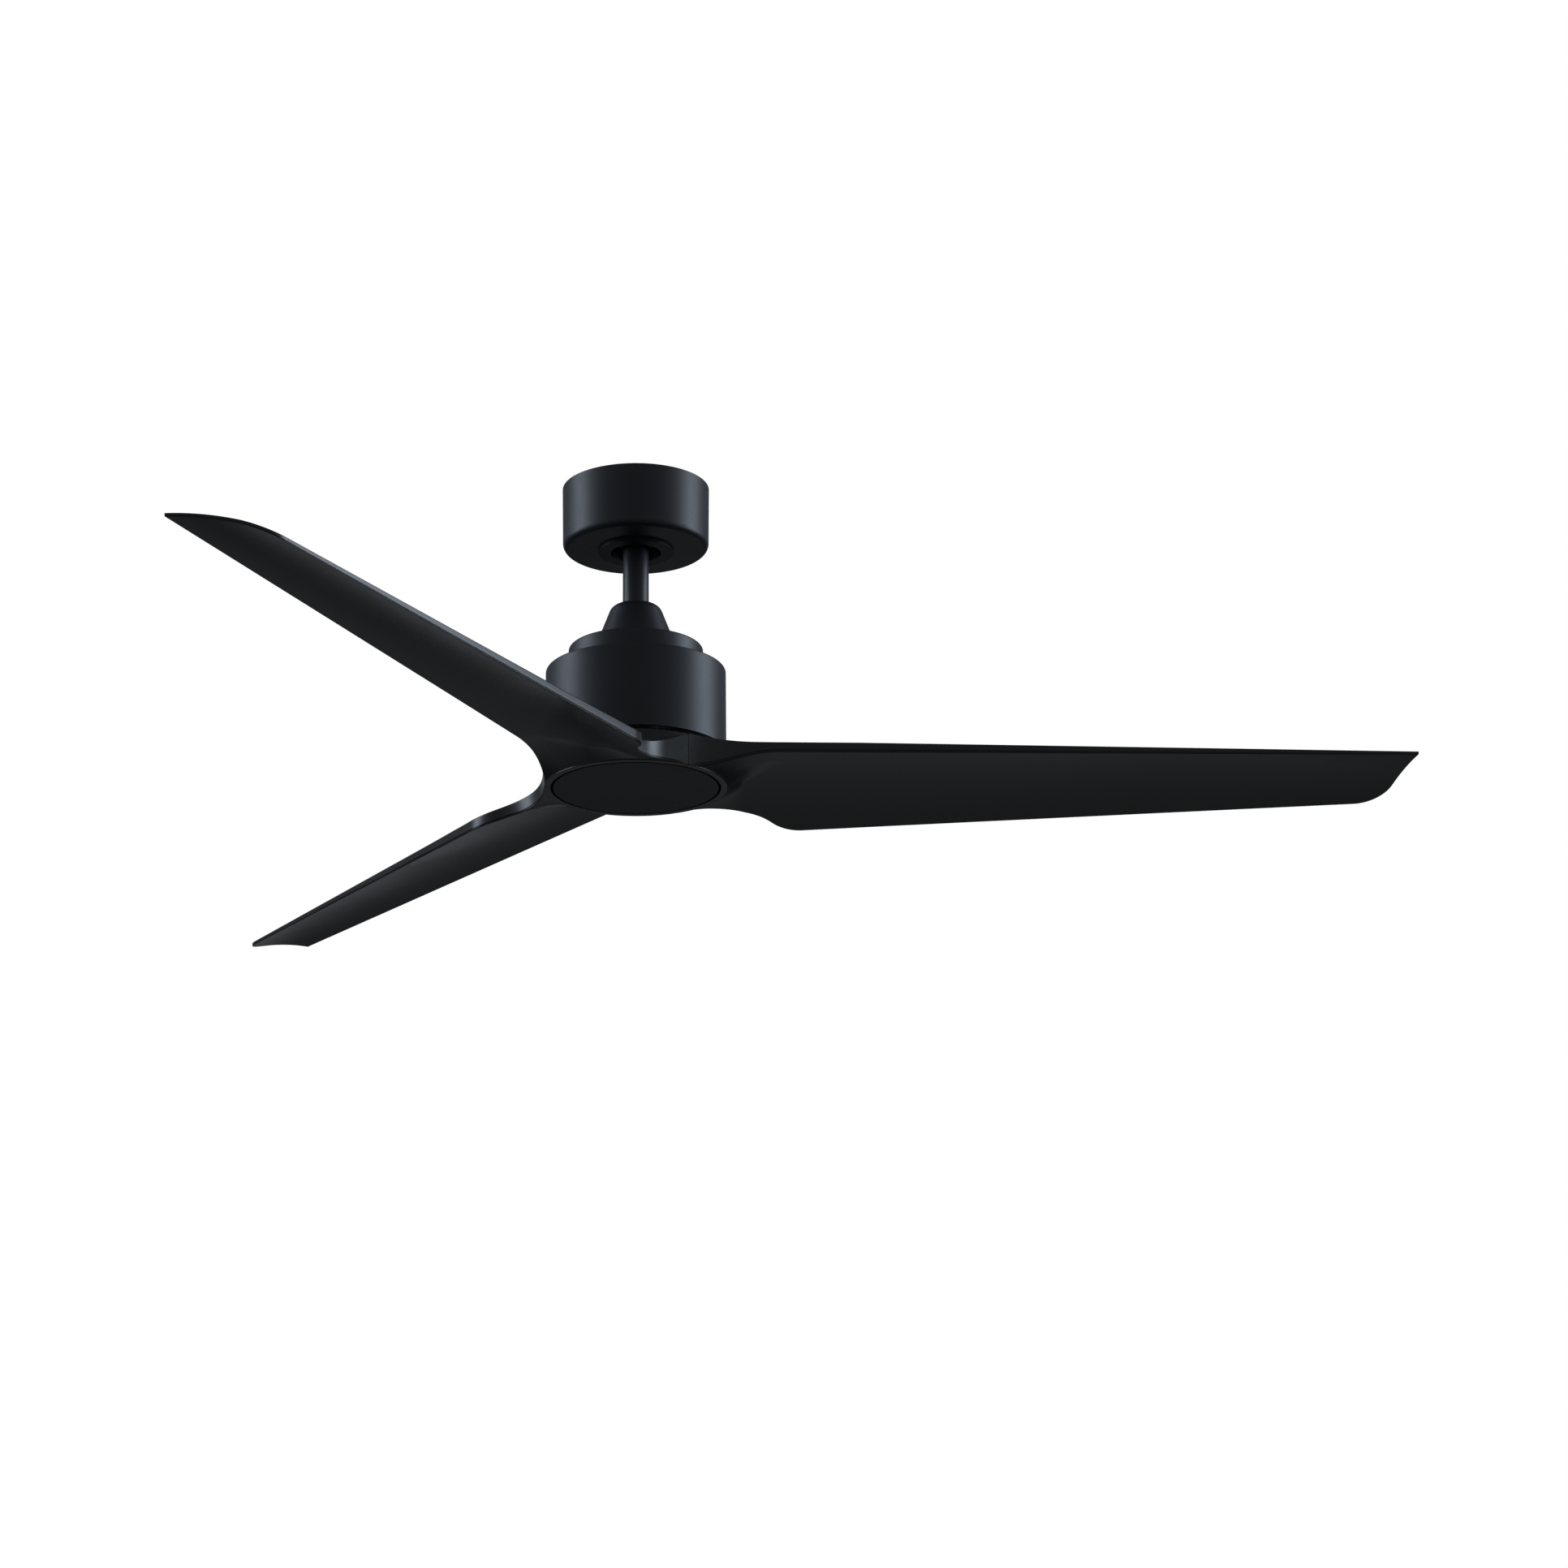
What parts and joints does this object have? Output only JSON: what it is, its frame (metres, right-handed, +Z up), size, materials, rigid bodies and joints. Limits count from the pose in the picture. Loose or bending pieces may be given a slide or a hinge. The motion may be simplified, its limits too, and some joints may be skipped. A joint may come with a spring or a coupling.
{
  "type": "ceiling fan",
  "caption": "Ceiling fan on a short rod: round canopy, drum motor with a stepped top, curved moulded blades meeting in a hub, and a flat blank cap where a light can go.",
  "frame": {"origin": "middle of the hanger bracket's top face, which lies against the ceiling", "axes": "+Z up into the ceiling along the rod and the spin axis; +X along the line of the two ceiling screw holes"},
  "size_m": [1.187, 1.3402, 0.3277],
  "materials": {
    "painted_black": "matte black powder coat",
    "bracket_steel": "black zinc",
    "black_plastic": "matte moulded",
    "blade_plastic": "matte moulded ABS",
    "ball_plastic": "glass-filled nylon",
    "case_plastic": "moulded",
    "terminal_plastic": "moulded",
    "board_green": "solder mask",
    "board_components": "moulded",
    "steel_hardware": "zinc plated",
    "dark_hardware": "black oxide",
    "yoke_iron": "cast and painted",
    "rubber_black": "sleeved",
    "washer_rubber": "moulded",
    "cast_aluminium": "die cast",
    "electrical_steel": "laminated",
    "magnet": "ferrite",
    "copper_wire": "enamelled"
  },
  "bodies": {
    "ceiling_mount": {"canopy": "painted_black", "canopy_ring": "black_plastic", "canopy_screws": "dark_hardware", "ground_screw": "steel_hardware", "hanger_bracket": "bracket_steel", "receiver_board": "board_green", "receiver_case": "case_plastic", "receiver_lid": "case_plastic", "terminal_block": "terminal_plastic", "terminal_screws": "steel_hardware"},
    "hanging_motor": {"ball_set_screw": "steel_hardware", "bearing_inner_races": "steel_hardware", "board_parts": "board_components", "board_posts": "steel_hardware", "cap_plate": "bracket_steel", "coupling_cover": "painted_black", "downrod": "painted_black", "driver_board": "board_green", "hanger_ball": "ball_plastic", "hanger_pin": "steel_hardware", "lead_bundle": "rubber_black", "lead_plug": "terminal_plastic", "light_connector": "terminal_plastic", "motor_housing": "painted_black", "motor_shaft": "steel_hardware", "plate_nut": "steel_hardware", "stator_carrier": "cast_aluminium", "stator_core": "electrical_steel", "stator_windings": "copper_wire", "step_cover": "painted_black", "step_cover_screws": "steel_hardware", "support_plate": "bracket_steel", "yoke": "yoke_iron", "yoke_clip": "steel_hardware", "yoke_pin": "steel_hardware", "yoke_screws": "steel_hardware", "yoke_set_screws": "steel_hardware"},
    "rotor_and_blades": {"bearing_balls": "steel_hardware", "bearing_outer_races": "steel_hardware", "blade_1": "blade_plastic", "blade_2": "blade_plastic", "blade_3": "blade_plastic", "blade_carrier": "cast_aluminium", "blade_screws": "dark_hardware", "blade_washers": "washer_rubber", "carrier_screws": "steel_hardware", "rotor_back_iron": "electrical_steel", "rotor_bolts": "steel_hardware", "rotor_lower_shell": "cast_aluminium", "rotor_magnets": "magnet", "rotor_upper_shell": "cast_aluminium"},
    "light_cap_body": {"light_cap": "black_plastic"}
  },
  "joints": [
    {"name": "ball_tilt", "type": "hinge", "parent": "ceiling_mount", "child": "hanging_motor", "pos_m": [0, 0, -0.044], "axis": [1, 0, 0], "range_deg": [-20, 20]},
    {"name": "fan_spin", "type": "hinge", "parent": "hanging_motor", "child": "rotor_and_blades", "pos_m": [0, 0, -0.28], "axis": [0, 0, 1], "continuous": true},
    {"name": "cap_twist", "type": "hinge", "parent": "hanging_motor", "child": "light_cap_body", "pos_m": [0, 0, -0.31], "axis": [0, 0, 1], "range_deg": [0, 20]}
  ]
}
